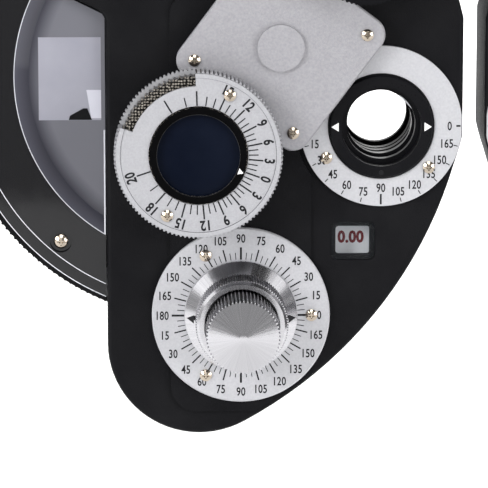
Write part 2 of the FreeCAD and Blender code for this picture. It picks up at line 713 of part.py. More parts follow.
def cross_cylinder_lens(label, side):
    """Flip cell of the cross cylinder with its pivots and two thumb wheels."""
    cell = tube(11.2, 0, CROSS_DEPTH - 1.4, CROSS_DEPTH + 1.4)
    stub = Part.makeCylinder(1, 32, V(-16, CROSS_DEPTH, 0), V(1, 0, 0))
    wheels = [Part.makeCylinder(2.6, 2.6, V(x, CROSS_DEPTH, 0), V(1, 0, 0)) for x in (-16.4, 13.8)]
    cell = cell.fuse([stub] + wheels).removeSplitter()
    return feature(label, cell, side, CROSS_SPOT)


# ---- screw groups, shaft and patient side --------------------------------------------------

def screw_group(label, side):
    """All visible fixing screws of a half that stay with its casings."""
    spots = []
    for angle in (0, 120, 240):
        spots.append((polar(KNOB, 21.4, angle), -val("pad_rise") - val("plate_thick") - SCREW_RISE))
    for angle in SIGHT_SCREWS:
        spots.append((polar((0, 0), 19.1, angle), -val("plate_thick") - SCREW_RISE))
    screws = [cross_screw((side * spot[0], spot[1]), front) for spot, front in spots]
    pan = (side * COVER_SCREW[0], COVER_SCREW[1])
    screws.append(cross_screw(pan, 2.8, 2.2, 1.2))
    return feature(label, Part.makeCompound(screws), side, sight_line)


def face_shield(label, side):
    """Removable cup round the rear sight hole, towards the patient's eye."""
    profile = [(13.5, 0), (24, 0), (24, 1.6), (17.5, 2.4), (16.6, 12), (15.2, 12), (14.6, 2.6), (13.5, 1.6)]
    points = [(dim(radius), size["rear_depth"] + y) for radius, y in profile]
    body = turned_body(label, points)
    place(body, side, sight_line)
    return register(body, label)


def plain_shaft(label, side):
    """Main shaft with a spigot at each end."""
    back = size["rear_depth"] - size["wall"]
    reach = size["shaft_radius"]
    body = turned_body(label, [
        (0, size["wall"] + 0.1), (4, size["wall"] + 0.1), (4, 6.6), (reach, 6.6),
        (reach, 28.3), (4, 28.3), (4, back + 0.1), (0, back + 0.1)])
    place(body, side, main_axis)
    return register(body, label)


# ---- the two halves ------------------------------------------------------------------------

for half, side in (("right", -1), ("left", 1)):
    feature(half + "_front_housing", front_housing(side), side, sight_line)
    feature(half + "_rear_housing", rear_housing(side), side, sight_line)
    feature(half + "_clear_cover", clear_cover(side), side, sight_line)
    plain_shaft(half + "_main_shaft", side)
    weak_sphere_wheel(half + "_weak_sphere_wheel", side)
    lens_set(half + "_weak_sphere_lenses", side, 13, val("lens_radius"), SPHERE_STATIONS)
    driven_disc(half + "_strong_sphere_disc", side, STRONG_DISC, (17.3, 22.2))
    lens_set(half + "_strong_sphere_lenses", side, 19, val("lens_radius"), SPHERE_STATIONS)
    small_knob(half + "_strong_sphere_knob", side, STRONG, STRONG_DISC)
    driven_disc(half + "_auxiliary_disc", side, AUX_DISC, (22.6, 27.6))
    small_knob(half + "_auxiliary_knob", side, AUX, AUX_DISC)
    cylinder_disc(half + "_cylinder_disc", side)
    lens_set(half + "_cylinder_lenses", side, 8.4, val("cylinder_seat"), CYLINDER_STATIONS)
    power_knob(half + "_power_knob", side)
    axis_knob(half + "_axis_knob", side)
    axis_plate(half + "_axis_plate", side)
    aperture_plate(half + "_aperture_plate", side)
    pointer_ring(half + "_pointer_ring", side)
    turret_plate(half + "_turret_plate", side)
    prism_bezel(half + "_prism_bezel", side)
    prism_rotor(half + "_prism_rotor", side)
    prism_lens(half + "_prism_lens", side)
    cross_cylinder_ring(half + "_cross_cylinder_ring", side)
    cross_cylinder_lens(half + "_cross_cylinder_lens", side)
    feature(half + "_window_pane", slab(window_face(side, 1.5), 0.4, 1.3), side, sight_line)
    screw_group(half + "_screws", side)
    face_shield(half + "_face_shield", side)


# ---- bridge, mount and forehead rest -------------------------------------------------------

def guide_rods():
    """Two round rods that carry both halves."""
    half = val("rod_length") / 2
    rods = [Part.makeCylinder(val("rod_radius"), 2 * half, V(-half, y, ROD_Z), V(1, 0, 0))
            for y in ROD_DEPTHS]
    return Part.makeCompound(rods)


def bridge_block():
    """Centre gearbox on the rods; the pinion and both racks run inside it."""
    block = Part.makeBox(36, 26, 30, V(-18, 3, ROD_Z - 17))
    block = block.makeFillet(2.5, [edge for edge in block.Edges if edge.BoundBox.YLength > 20])
    shoe = Part.makeBox(16, 22, 20, V(-8, 7, ROD_Z - 34))
    lug = Part.makeBox(17, 10, 10, V(-8.5, 12, ROD_Z + 11)).fuse(tube(8.5, 0, 12, 22, (0, PIVOT_Z)))
    block = block.fuse([lug, shoe])
    rods = [Part.makeCylinder(val("rod_radius"), 80, V(-40, y, ROD_Z), V(1, 0, 0)) for y in ROD_DEPTHS]
    rack_way = Part.makeBox(60, 2.2, 18, V(-30, 5.6, ROD_Z - 9))
    bar_way = Part.makeBox(9.2, 40, 9.2, V(-4.6, 0, ROD_Z - 28.6))
    bores = [tube(6.05, 0, 2, 30, (0, PIVOT_Z)), tube(3.05, 0, 0, 6, (0, ROD_Z))]
    return block.cut(rods + [rack_way, bar_way] + bores).removeSplitter()


def pupil_distance_knob():
    """Front knob with the pinion that moves both halves."""
    knob = toothed_prism(11, 54, 0.5, -11, 0.5).fuse(tube(10.2, 0, -12, 2.4))
    knob = knob.cut(tube(6, 0, -13, -11))
    knob = knob.fuse([tube(3, 0, 2, 6), toothed_prism(val("rack_radius") - 0.2, 16, 0.5, 5.8, 7.6)])
    return knob.removeSplitter()


def mount_bracket():
    """Fork over the bridge's lug, with a vertical bore for the stand's post."""
    axis = V(0, val("post_back"), POST_Z - val("post_grip") / 2)
    body = Part.makeCylinder(15, val("post_grip"), axis, V(0, 0, 1))
    body = body.fuse(Part.makeCylinder(17, 6, axis - V(0, 0, 5), V(0, 0, 1)))
    foot = POST_Z - val("post_grip") / 2 - 4
    cheeks = [Part.makeBox(18, 5, foot - ROD_Z - 14.4, V(-9, y, ROD_Z + 14.4)) for y in (6.6, 22.4)]
    pin = tube(6, 0, 6.6, 27.4, (0, PIVOT_Z))
    bore = Part.makeCylinder(val("post_radius"), val("post_grip") + 1, axis, V(0, 0, 1))
    return body.fuse(cheeks + [pin]).cut(bore).removeSplitter()


def forehead_slide():
    """Square bar through the bridge with the pad's backing plate at its end."""
    bar = Part.makeBox(8.6, 57, 8.6, V(-4.3, -9, ROD_Z - 28.3))
    plate = Part.makeBox(44, 3, 15, V(-22, 47, ROD_Z - 31.5))
    return bar.fuse([plate, tube(7, 0, -15, -9, (0, ROD_Z - 24))]).removeSplitter()


def forehead_pad():
    """Curved cushion in front of the backing plate."""
    return Part.makeBox(48, 7, 18, V(-24, 50, ROD_Z - 33))


feature("mount_bracket", mount_bracket(), 0, (0, 0))
feature("bridge_block", bridge_block(), 0, (0, 0))
feature("guide_rods", guide_rods(), 0, (0, 0))
feature("pupil_distance_knob", pupil_distance_knob(), 0, (0, ROD_Z))
feature("forehead_slide", forehead_slide(), 0, (0, 0))
feature("forehead_pad", forehead_pad(), 0, (0, 0))

# ---- check and export ----------------------------------------------------------------------

doc.recompute()
for item in doc.Objects:
    if "Invalid" in item.State or "Error" in item.State:
        raise RuntimeError(item.Label + " failed to recompute")
os.makedirs("parts", exist_ok=True)
for item in nodes:
    if item.Shape.isNull() or not item.Shape.isValid():
        raise RuntimeError(item.Label + " has no valid shape")
    item.Shape.exportStep("parts/%s.step" % item.Label)
print("sub-parts written:", len(nodes))
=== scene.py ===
import math

import bmesh
import bpy
from mathutils import Matrix, Vector


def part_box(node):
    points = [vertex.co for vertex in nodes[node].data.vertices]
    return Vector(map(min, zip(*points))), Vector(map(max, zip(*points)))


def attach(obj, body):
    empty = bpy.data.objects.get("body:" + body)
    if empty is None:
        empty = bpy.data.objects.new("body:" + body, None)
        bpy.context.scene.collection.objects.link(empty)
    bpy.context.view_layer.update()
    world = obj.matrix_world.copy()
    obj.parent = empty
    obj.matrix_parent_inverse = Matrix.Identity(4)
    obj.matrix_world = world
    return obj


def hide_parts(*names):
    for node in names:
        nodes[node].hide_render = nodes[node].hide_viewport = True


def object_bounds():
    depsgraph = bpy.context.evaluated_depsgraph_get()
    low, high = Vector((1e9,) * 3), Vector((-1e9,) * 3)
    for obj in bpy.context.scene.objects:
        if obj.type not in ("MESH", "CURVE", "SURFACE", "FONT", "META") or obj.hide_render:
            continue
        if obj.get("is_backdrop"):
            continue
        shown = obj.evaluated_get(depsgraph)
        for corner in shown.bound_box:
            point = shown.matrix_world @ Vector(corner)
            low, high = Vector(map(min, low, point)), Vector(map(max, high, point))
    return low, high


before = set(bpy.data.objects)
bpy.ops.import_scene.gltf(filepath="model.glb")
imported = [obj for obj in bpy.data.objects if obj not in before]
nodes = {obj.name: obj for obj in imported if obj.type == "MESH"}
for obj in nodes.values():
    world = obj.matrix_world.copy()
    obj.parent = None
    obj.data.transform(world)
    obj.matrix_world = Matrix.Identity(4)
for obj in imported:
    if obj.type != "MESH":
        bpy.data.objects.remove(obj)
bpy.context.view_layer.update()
MM = 0.001
SIDES = (("right", -1), ("left", 1))
INK_THICK = 0.03 * MM
CYLINDER_STEPS = 17


# ---- materials -----------------------------------------------------------------------------

def node_material(name):
    """An empty node material with its shader and object coordinates."""
    material = bpy.data.materials.new(name)
    material.use_nodes = True
    tree = material.node_tree
    shader = tree.nodes["Principled BSDF"]
    coords = tree.nodes.new("ShaderNodeTexCoord")
    return material, tree, shader, coords.outputs["Object"]


def noise(tree, vector, scale, detail=3.0, rough=0.55):
    """Noise at a scale in cycles per metre."""
    made = tree.nodes.new("ShaderNodeTexNoise")
    made.inputs["Scale"].default_value = scale
    made.inputs["Detail"].default_value = detail
    made.inputs["Roughness"].default_value = rough
    tree.links.new(vector, made.inputs["Vector"])
    return made.outputs["Fac"]


def spread(tree, value, low, high, start=0.3, end=0.7):
    """Map a 0 to 1 pattern to a range."""
    made = tree.nodes.new("ShaderNodeMapRange")
    made.inputs["From Min"].default_value = start
    made.inputs["From Max"].default_value = end
    made.inputs["To Min"].default_value = low
    made.inputs["To Max"].default_value = high
    tree.links.new(value, made.inputs["Value"])
    return made.outputs["Result"]


def two_tone(tree, value, dark, light):
    """Colour that runs from dark to light with a pattern."""
    made = tree.nodes.new("ShaderNodeMix")
    made.data_type = "RGBA"
    made.inputs["A"].default_value = (*dark, 1)
    made.inputs["B"].default_value = (*light, 1)
    tree.links.new(value, made.inputs["Factor"])
    return made.outputs["Result"]


def bump(tree, shader, height, depth, strength=1.0):
    """Raise the surface by a pattern; depth in metres."""
    made = tree.nodes.new("ShaderNodeBump")
    made.inputs["Strength"].default_value = strength
    made.inputs["Distance"].default_value = depth
    tree.links.new(height, made.inputs["Height"])
    tree.links.new(made.outputs["Normal"], shader.inputs["Normal"])


def finish_of(name, dark, light, metal, rough, grain, depth, coat=0.0, patch=60.0, gloss=0.5):
    """A paint, plating or moulding: mottled colour, uneven gloss and a fine grain."""
    material, tree, shader, coords = node_material(name)
    mottled = spread(tree, noise(tree, coords, patch), 0, 1)
    fine = noise(tree, coords, grain, 4.0, 0.6)
    tree.links.new(two_tone(tree, mottled, dark, light), shader.inputs["Base Color"])
    tree.links.new(spread(tree, fine, rough[0], rough[1]), shader.inputs["Roughness"])
    shader.inputs["Metallic"].default_value = metal
    shader.inputs["Specular IOR Level"].default_value = gloss
    shader.inputs["Coat Weight"].default_value = coat
    shader.inputs["Coat Roughness"].default_value = 0.08
    bump(tree, shader, fine, depth)
    return material


def away_from_axis(tree, coords, centre):
    """Offset of a point from the Y axis through a centre."""
    moved = tree.nodes.new("ShaderNodeVectorMath")
    moved.operation = "SUBTRACT"
    moved.inputs[1].default_value = centre
    tree.links.new(coords, moved.inputs[0])
    flat = tree.nodes.new("ShaderNodeVectorMath")
    flat.operation = "MULTIPLY"
    flat.inputs[1].default_value = (1, 0, 1)
    tree.links.new(moved.outputs[0], flat.inputs[0])
    return flat.outputs[0]


def turned_metal(name, rough, centre):
    """Bright metal faced about a Y axis, with fine brushing that runs out from the centre."""
    material, tree, shader, coords = node_material(name)
    along = tree.nodes.new("ShaderNodeVectorMath")
    along.operation = "NORMALIZE"
    tree.links.new(away_from_axis(tree, coords, centre), along.inputs[0])
    brushed = noise(tree, along.outputs[0], 45, 4.0)
    streaked = two_tone(tree, spread(tree, brushed, 0, 1), (0.48, 0.475, 0.50), (0.62, 0.615, 0.635))
    tree.links.new(streaked, shader.inputs["Base Color"])
    tree.links.new(spread(tree, brushed, rough[0], rough[1]), shader.inputs["Roughness"])
    shader.inputs["Metallic"].default_value = 1.0
    bump(tree, shader, brushed, 0.00002, 0.3)
    return material


def glass_of(name, tint, rough, through, coat=0.0):
    """Solid glass or moulding with faint uneven gloss."""
    material, tree, shader, coords = node_material(name)
    smear = noise(tree, coords, 90, 2.0)
    tree.links.new(spread(tree, smear, rough[0], rough[1]), shader.inputs["Roughness"])
    mottled = spread(tree, noise(tree, coords, 25), 0, 1)
    lighter = tuple(min(1, part * 1.12) for part in tint)
    tree.links.new(two_tone(tree, mottled, tint, lighter), shader.inputs["Base Color"])
    shader.inputs["Transmission Weight"].default_value = through
    shader.inputs["Specular IOR Level"].default_value = 0.2
    shader.inputs["IOR"].default_value = 1.49
    shader.inputs["Coat Weight"].default_value = coat
    shader.inputs["Coat Roughness"].default_value = 0.03
    return material


def thin_glass(name, tint, solid):
    """Thin clear pane or lens: light passes straight through, with faint smears in its gloss."""
    material, tree, shader, coords = node_material(name)
    smear = noise(tree, coords, 90, 2.0)
    tree.links.new(spread(tree, smear, 0.02, 0.06), shader.inputs["Roughness"])
    tree.links.new(spread(tree, smear, solid, solid * 1.3), shader.inputs["Alpha"])
    shader.inputs["Base Color"].default_value = (*tint, 1)
    shader.inputs["Specular IOR Level"].default_value = 0.8
    material.surface_render_method = "BLENDED"
    return material


def clear_moulding(name, centre, bands):
    """Tinted clear plastic over a wheel: its fields, from the shaft outwards, differ in depth of tint."""
    material, tree, shader, coords = node_material(name)
    reach = tree.nodes.new("ShaderNodeVectorMath")
    reach.operation = "LENGTH"
    tree.links.new(away_from_axis(tree, coords, centre), reach.inputs[0])
    ramp = tree.nodes.new("ShaderNodeValToRGB")
    steps = ramp.color_ramp
    steps.elements[0].position = 0.0
    steps.elements[0].color = (*bands[0][1], 1)
    steps.elements[1].position = 1.0
    steps.elements[1].color = (*bands[-1][1], 1)
    for radius, tint in bands[1:-1]:
        steps.elements.new(radius / bands[-1][0]).color = (*tint, 1)
    share = tree.nodes.new("ShaderNodeMath")
    share.operation = "DIVIDE"
    share.inputs[1].default_value = bands[-1][0]
    tree.links.new(reach.outputs["Value"], share.inputs[0])
    tree.links.new(share.outputs[0], ramp.inputs[0])
    tree.links.new(ramp.outputs[0], shader.inputs["Base Color"])
    tree.links.new(spread(tree, noise(tree, coords, 140), 0.04, 0.08), shader.inputs["Roughness"])
    shader.inputs["Specular IOR Level"].default_value = 0.35
    return material


def diamond_knurl(name, dark, light, pitch):
    """Darkened metal with a fine diamond knurl whose points are painted bright: a painted highlight."""
    material, tree, shader, coords = node_material(name)
    points = tree.nodes.new("ShaderNodeTexVoronoi")
    points.inputs["Scale"].default_value = pitch
    points.inputs["Randomness"].default_value = 0.35
    tree.links.new(coords, points.inputs["Vector"])
    # Points of the knurl painted bright and golden, the rest dark: painted highlight on the points.
    painted_point_highlight = spread(tree, points.outputs["Distance"], 1, 0, 0.25, 0.5)
    tree.links.new(two_tone(tree, painted_point_highlight, dark, light), shader.inputs["Base Color"])
    shader.inputs["Metallic"].default_value = 0.9
    tree.links.new(spread(tree, noise(tree, coords, 700), 0.20, 0.34), shader.inputs["Roughness"])
    bump(tree, shader, painted_point_highlight, 0.0003)
    return material


def padded_vinyl(name):
    """Soft black vinyl with a leather-like grain."""
    material, tree, shader, coords = node_material(name)
    cells = tree.nodes.new("ShaderNodeTexVoronoi")
    cells.inputs["Scale"].default_value = 900
    tree.links.new(coords, cells.inputs["Vector"])
    tree.links.new(two_tone(tree, cells.outputs["Distance"], (0.012, 0.012, 0.014), (0.035, 0.035, 0.04)),
                   shader.inputs["Base Color"])
    tree.links.new(spread(tree, noise(tree, coords, 500), 0.45, 0.62), shader.inputs["Roughness"])
    bump(tree, shader, cells.outputs["Distance"], 0.0002, 0.7)
    return material


def axis_point(node):
    """Middle of a node's box, on its turning axis."""
    low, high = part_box(node)
    return (low + high) / 2


PAINT = {
    "black_texture": finish_of("black_texture", (0.004, 0.004, 0.005), (0.007, 0.007, 0.008), 0.0,
                               (0.42, 0.62), 2600, 0.00010, gloss=0.07),
    "black_satin": finish_of("black_satin", (0.003, 0.003, 0.004), (0.005, 0.005, 0.006), 0.0,
                             (0.26, 0.38), 1800, 0.00002, gloss=0.11),
    "silver_plate": finish_of("silver_plate", (0.45, 0.45, 0.475), (0.51, 0.51, 0.53), 0.5,
                              (0.40, 0.52), 3600, 0.00006, patch=1800),
    "bezel_silver": finish_of("bezel_silver", (0.35, 0.35, 0.37), (0.40, 0.40, 0.42), 0.4,
                              (0.40, 0.52), 3600, 0.00006, patch=1800),
    "bracket_silver": finish_of("bracket_silver", (0.31, 0.305, 0.325), (0.37, 0.365, 0.385), 0.6,
                                (0.40, 0.52), 3000, 0.00010, patch=1500),
    "steel": finish_of("steel", (0.50, 0.49, 0.48), (0.58, 0.57, 0.56), 1.0, (0.18, 0.30), 900, 0.00001),
    "nickel": finish_of("nickel", (0.42, 0.36, 0.29), (0.52, 0.45, 0.37), 1.0, (0.10, 0.20), 1500, 0.00001),
    "disc_alloy": finish_of("disc_alloy", (0.006, 0.006, 0.007), (0.010, 0.010, 0.011), 0.0,
                            (0.35, 0.5), 1800, 0.00003, gloss=0.10),
    "soft_black": finish_of("soft_black", (0.010, 0.010, 0.011), (0.016, 0.016, 0.017), 0.0,
                            (0.50, 0.68), 1500, 0.00004, gloss=0.25),
    # Near-black paint that stands in for the shade in knurl roots, seams and the gap at the prism lens's
    # edge: painted shade.
    "groove_shade": finish_of("groove_shade", (0.006, 0.006, 0.007), (0.03, 0.03, 0.032), 0.2,
                              (0.4, 0.55), 2500, 0.00001, gloss=0.2),
    "ink_black": finish_of("ink_black", (0.004, 0.004, 0.005), (0.008, 0.008, 0.010), 0.0,
                           (0.45, 0.6), 3000, 0.00001, gloss=0.2),
    "ink_white": finish_of("ink_white", (0.72, 0.72, 0.72), (0.80, 0.80, 0.80), 0.0,
                           (0.45, 0.6), 3000, 0.00001),
    "ink_red": finish_of("ink_red", (0.14, 0.003, 0.008), (0.18, 0.005, 0.010), 0.0,
                         (0.45, 0.6), 3000, 0.00001, gloss=0.2),
    "pale_scale": finish_of("pale_scale", (0.74, 0.76, 0.80), (0.78, 0.80, 0.84), 0.0,
                            (0.45, 0.6), 2000, 0.00001),
    "label_grey": finish_of("label_grey", (0.22, 0.22, 0.26), (0.26, 0.26, 0.30), 0.0,
                            (0.30, 0.42), 1200, 0.00001, coat=0.4),
    "label_pale": finish_of("label_pale", (0.44, 0.44, 0.50), (0.50, 0.50, 0.56), 0.0,
                            (0.30, 0.42), 1200, 0.00001, coat=0.4),
    # Light grey, glossy bars on the clear cover's edges: painted highlight.
    "painted_edge_highlight": finish_of("painted_edge_highlight", (0.62, 0.63, 0.68), (0.72, 0.73, 0.78), 0.2,
                            (0.10, 0.2), 900, 0.00001, coat=0.5),
    "clear_glass": thin_glass("clear_glass", (0.10, 0.12, 0.13), 0.035),
    # Opaque near-black prism glass: painted shade standing in for the dark inside of the instrument seen
    # through the lens.
    "prism_glass": finish_of("prism_glass", (0.002, 0.0035, 0.009), (0.004, 0.006, 0.013), 0.0,
                             (0.05, 0.10), 60, 0.00001, gloss=0.08),
    "vial_green": glass_of("vial_green", (0.35, 0.70, 0.18), (0.0, 0.02), 0.5),
    "dark_brass": diamond_knurl("dark_brass", (0.012, 0.011, 0.010), (0.55, 0.50, 0.44), 1100),
    "pad_vinyl": padded_vinyl("pad_vinyl"),
    "lens_black": finish_of("lens_black", (0.0012, 0.0012, 0.0014), (0.002, 0.002, 0.0024), 0.0,
                            (0.3, 0.4), 1800, 0.00001, gloss=0.03),
}

CAD_FINISH = {
    "front_housing": "black_texture", "rear_housing": "black_texture", "main_shaft": "steel",
    "weak_sphere_wheel": "black_satin", "weak_sphere_lenses": "clear_glass",
    "strong_sphere_disc": "disc_alloy", "strong_sphere_lenses": "clear_glass",
    "strong_sphere_knob": "black_satin", "auxiliary_disc": "disc_alloy", "auxiliary_knob": "black_satin",
    "cylinder_disc": "black_satin", "cylinder_lenses": "clear_glass", "axis_plate": "silver_plate",
    "aperture_plate": "silver_plate", "pointer_ring": "black_satin", "window_pane": "clear_glass",
    "turret_plate": "bracket_silver", "prism_rotor": "dark_brass", "prism_lens": "prism_glass",
    "cross_cylinder_ring": "black_satin", "cross_cylinder_lens": "clear_glass", "screws": "nickel",
    "face_shield": "soft_black", "prism_bezel": "bezel_silver",
}
TURNED = {"power_knob": (0.09, 0.17), "axis_knob": (0.14, 0.24)}
KNURLS = {"axis_knob": (13.9, 0.5, 12), "power_knob": (11.0, 0.6, 26), "prism_bezel": (25.1, 0.5, 9)}
COVER_BANDS = (
    (0, (0.150, 0.150, 0.168)),
    (0.047, (0.120, 0.120, 0.138)),
    (0.0518, (0.030, 0.030, 0.040)),
    (0.0558, (0.058, 0.058, 0.074)),
    (0.0561, (0.070, 0.072, 0.090)),
    (0.0562, (0.007, 0.007, 0.008)),
    (0.080, (0.007, 0.007, 0.008)))
SHARED_FINISH = {"mount_bracket": "black_satin", "bridge_block": "black_texture", "guide_rods": "steel",
                 "forehead_slide": "steel", "forehead_pad": "pad_vinyl"}


def dress(node_name, material, crease=28):
    """Give a CAD node its material, with smooth rounds and crisp edges."""
    item = nodes[node_name]
    mesh = item.data
    mesh.materials.clear()
    mesh.materials.append(material)
    if "custom_normal" in mesh.attributes:
        mesh.attributes.remove(mesh.attributes["custom_normal"])
    mesh.polygons.foreach_set("use_smooth", [True] * len(mesh.polygons))
    weld = item.modifiers.new("weld", "WELD")
    weld.merge_threshold = 0.000002
    crisp = item.modifiers.new("crisp", "EDGE_SPLIT")
    crisp.split_angle = math.radians(crease)


def pick_faces(node_name, material, wanted):
    """Give a second finish to the faces that a rule picks by their centre and normal."""
    mesh = nodes[node_name].data
    mesh.materials.append(material)
    slot_index = len(mesh.materials) - 1
    for polygon in mesh.polygons:
        if wanted(polygon.center, polygon.normal):
            polygon.material_index = slot_index


def sharp_cone(node_name):
    """Keep a turned cone's facets flat, so that its reflections run straight to the point."""
    for polygon in nodes[node_name].data.polygons:
        if -0.995 < polygon.normal.y < -0.5:
            polygon.use_smooth = False


def shade_roots(half, knob, front):
    """Painted shade in the roots between the teeth of a knurl, whose radius, tooth height and length are
    listed.
    """
    node_name = "%s_%s" % (half, knob)
    radius, height, length = (value * MM for value in KNURLS[knob])
    centre = axis_point(node_name)

    def in_root(middle, normal):
        reach = math.hypot(middle.x - centre.x, middle.z - centre.z)
        depth = radius - reach
        along = 0 < middle.y - front < length
        return along and 0.75 * height < depth < 1.3 * height and abs(normal.y) < 0.3

    pick_faces(node_name, PAINT["groove_shade"], in_root)


def screw_heads(node_name, level, keep_clear=0.0):
    """Nickel screw heads: whatever stands in front of a level, away from the node's middle."""
    centre = axis_point(node_name)

    def in_head(middle, normal):
        away = math.hypot(middle.x - centre.x, middle.z - centre.z)
        return middle.y < level and away > keep_clear

    pick_faces(node_name, PAINT["nickel"], in_head)


for half, side in SIDES:
    for name, finish in CAD_FINISH.items():
        dress("%s_%s" % (half, name), PAINT[finish])
    for name, rough in TURNED.items():
        node_name = "%s_%s" % (half, name)
        dress(node_name, turned_metal("turned_" + node_name, rough, axis_point(node_name)))
    sharp_cone(half + "_power_knob")
    bezel_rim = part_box(half + "_prism_rotor")[0].y + 0.4 * MM
    shade_roots(half, "axis_knob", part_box(half + "_axis_knob")[0].y)
    shade_roots(half, "power_knob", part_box(half + "_power_knob")[0].y)
    shade_roots(half, "prism_bezel", bezel_rim)
    screw_heads(half + "_prism_bezel", bezel_rim - 0.05 * MM)
    screw_heads(half + "_turret_plate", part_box(half + "_turret_plate")[0].y + 1.45 * MM, 9 * MM)
    cover = clear_moulding(half + "_smoke_clear", axis_point(half + "_main_shaft"), COVER_BANDS)
    dress(half + "_clear_cover", cover, 4)
for name, finish in SHARED_FINISH.items():
    dress(name, PAINT[finish])
dress("pupil_distance_knob",
      turned_metal("turned_pd_knob", TURNED["axis_knob"], axis_point("pupil_distance_knob")))


# ---- printed marks -------------------------------------------------------------------------

def mesh_of(name, shape):
    """Turn a shape into a mesh whose faces look outwards."""
    bmesh.ops.recalc_face_normals(shape, faces=shape.faces)
    data = bpy.data.meshes.new(name)
    shape.to_mesh(data)
    shape.free()
    return data


def join_loops(shape, loops):
    """Faces between each closed loop of vertices and the next."""
    for here, there in zip(loops, loops[1:]):
        for step in range(len(here)):
            after = (step + 1) % len(here)
            shape.faces.new((here[step], here[after], there[after], there[step]))


class Print:
    """Thin marks gathered into one solid mesh that faces the examiner, on a flat or a 45 degree cone."""

    def __init__(self, centre, depth, cone_rim=None):
        self.mesh = bmesh.new()
        self.centre = centre
        self.depth = depth
        self.cone_rim = cone_rim

    def put(self, across, up, lift):
        """A vertex at (x, z) from the centre, lifted towards the examiner."""
        if self.cone_rim:
            lift += self.cone_rim - math.hypot(across, up)
        spot = (self.centre[0] + across, self.depth - lift, self.centre[2] + up)
        return self.mesh.verts.new(spot)

    def prism(self, outline):
        """A thin plate with the given outline of (x, z) points."""
        back = [self.put(x, z, -INK_THICK) for x, z in outline]
        front = [self.put(x, z, INK_THICK) for x, z in outline]
        self.mesh.faces.new(front)
        self.mesh.faces.new(back[::-1])
        count = len(outline)
        for index in range(count):
            other = (index + 1) % count
            self.mesh.faces.new((back[index], back[other], front[other], front[index]))

    def tick(self, degrees, inner, outer, width):
        """A radial bar."""
        angle = math.radians(degrees)
        along = (math.cos(angle), math.sin(angle))
        cross = (-along[1] * width / 2, along[0] * width / 2)
        self.prism([(along[0] * inner - cross[0], along[1] * inner - cross[1]),
                    (along[0] * outer - cross[0], along[1] * outer - cross[1]),
                    (along[0] * outer + cross[0], along[1] * outer + cross[1]),
                    (along[0] * inner + cross[0], along[1] * inner + cross[1])])

    def dot(self, across, up, radius, steps=20):
        """A round mark."""
        turns = [2 * math.pi * index / steps for index in range(steps)]
        self.prism([(across + radius * math.cos(turn), up + radius * math.sin(turn)) for turn in turns])

    def triangle(self, degrees, tip, base, half_width):
        """A pointer whose tip and base lie at two radii."""
        angle = math.radians(degrees)
        along = (math.cos(angle), math.sin(angle))
        cross = (-along[1] * half_width, along[0] * half_width)
        self.prism([(along[0] * tip, along[1] * tip),
                    (along[0] * base + cross[0], along[1] * base + cross[1]),
                    (along[0] * base - cross[0], along[1] * base - cross[1])])

    def text(self, words, radius, degrees, height, turn=0.0, squeeze=0.74, weight=0.018):
        """Digits centred at a radius and angle, turned by an angle, from their own outline."""
        angle = math.radians(degrees)
        spot = (radius * math.cos(angle), radius * math.sin(angle))
        cos, sin = math.cos(math.radians(turn)), math.sin(math.radians(turn))
        glyphs = text_mesh(words, weight)
        scale = height / glyph_height()
        low = min(v.co.x for v in glyphs.vertices)
        high = max(v.co.x for v in glyphs.vertices)
        middle = (low + high) / 2
        made = []
        for vertex in glyphs.vertices:
            across = (vertex.co.x - middle) * scale * squeeze
            up = (vertex.co.y - 0.5 * glyph_height()) * scale
            lift = INK_THICK if vertex.co.z > 0 else -INK_THICK
            made.append(self.put(spot[0] + across * cos - up * sin, spot[1] + across * sin + up * cos, lift))
        for polygon in glyphs.polygons:
            self.mesh.faces.new([made[index] for index in polygon.vertices])

    def done(self, name, body, finish):
        """Make the object and let it ride on its body."""
        return add_piece(name, mesh_of(name, self.mesh), body, finish)


def add_piece(name, data, body, finish):
    """Link a mesh with its material, and ride it on a body."""
    item = bpy.data.objects.new(name, data)
    bpy.context.scene.collection.objects.link(item)
    data.materials.append(finish)
    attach(item, body)
    return item


GLYPHS = {}


def text_mesh(words, weight):
    """The solid outline of some digits, made once."""
    key = (words, weight)
    if key not in GLYPHS:
        curve = bpy.data.curves.new("digits", "FONT")
        curve.body = words
        curve.extrude = 0.01
        curve.offset = weight
        curve.resolution_u = 3
        curve.space_character = 1.04
        source = bpy.data.objects.new("digits", curve)
        bpy.context.scene.collection.objects.link(source)
        bpy.context.view_layer.update()
        ready = source.evaluated_get(bpy.context.evaluated_depsgraph_get())
        GLYPHS[key] = bpy.data.meshes.new_from_object(ready)
        bpy.data.objects.remove(source)
    return GLYPHS[key]


def glyph_height():
    """Height of a digit in the font's own units."""
    return max(v.co.y for v in text_mesh("0", 0.0).vertices)


def front_of(node_name):
    """Middle of a node in x and z, and the y of its front face."""
    low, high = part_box(node_name)
    return Vector(((low.x + high.x) / 2, 0, (low.z + high.z) / 2)), low.y


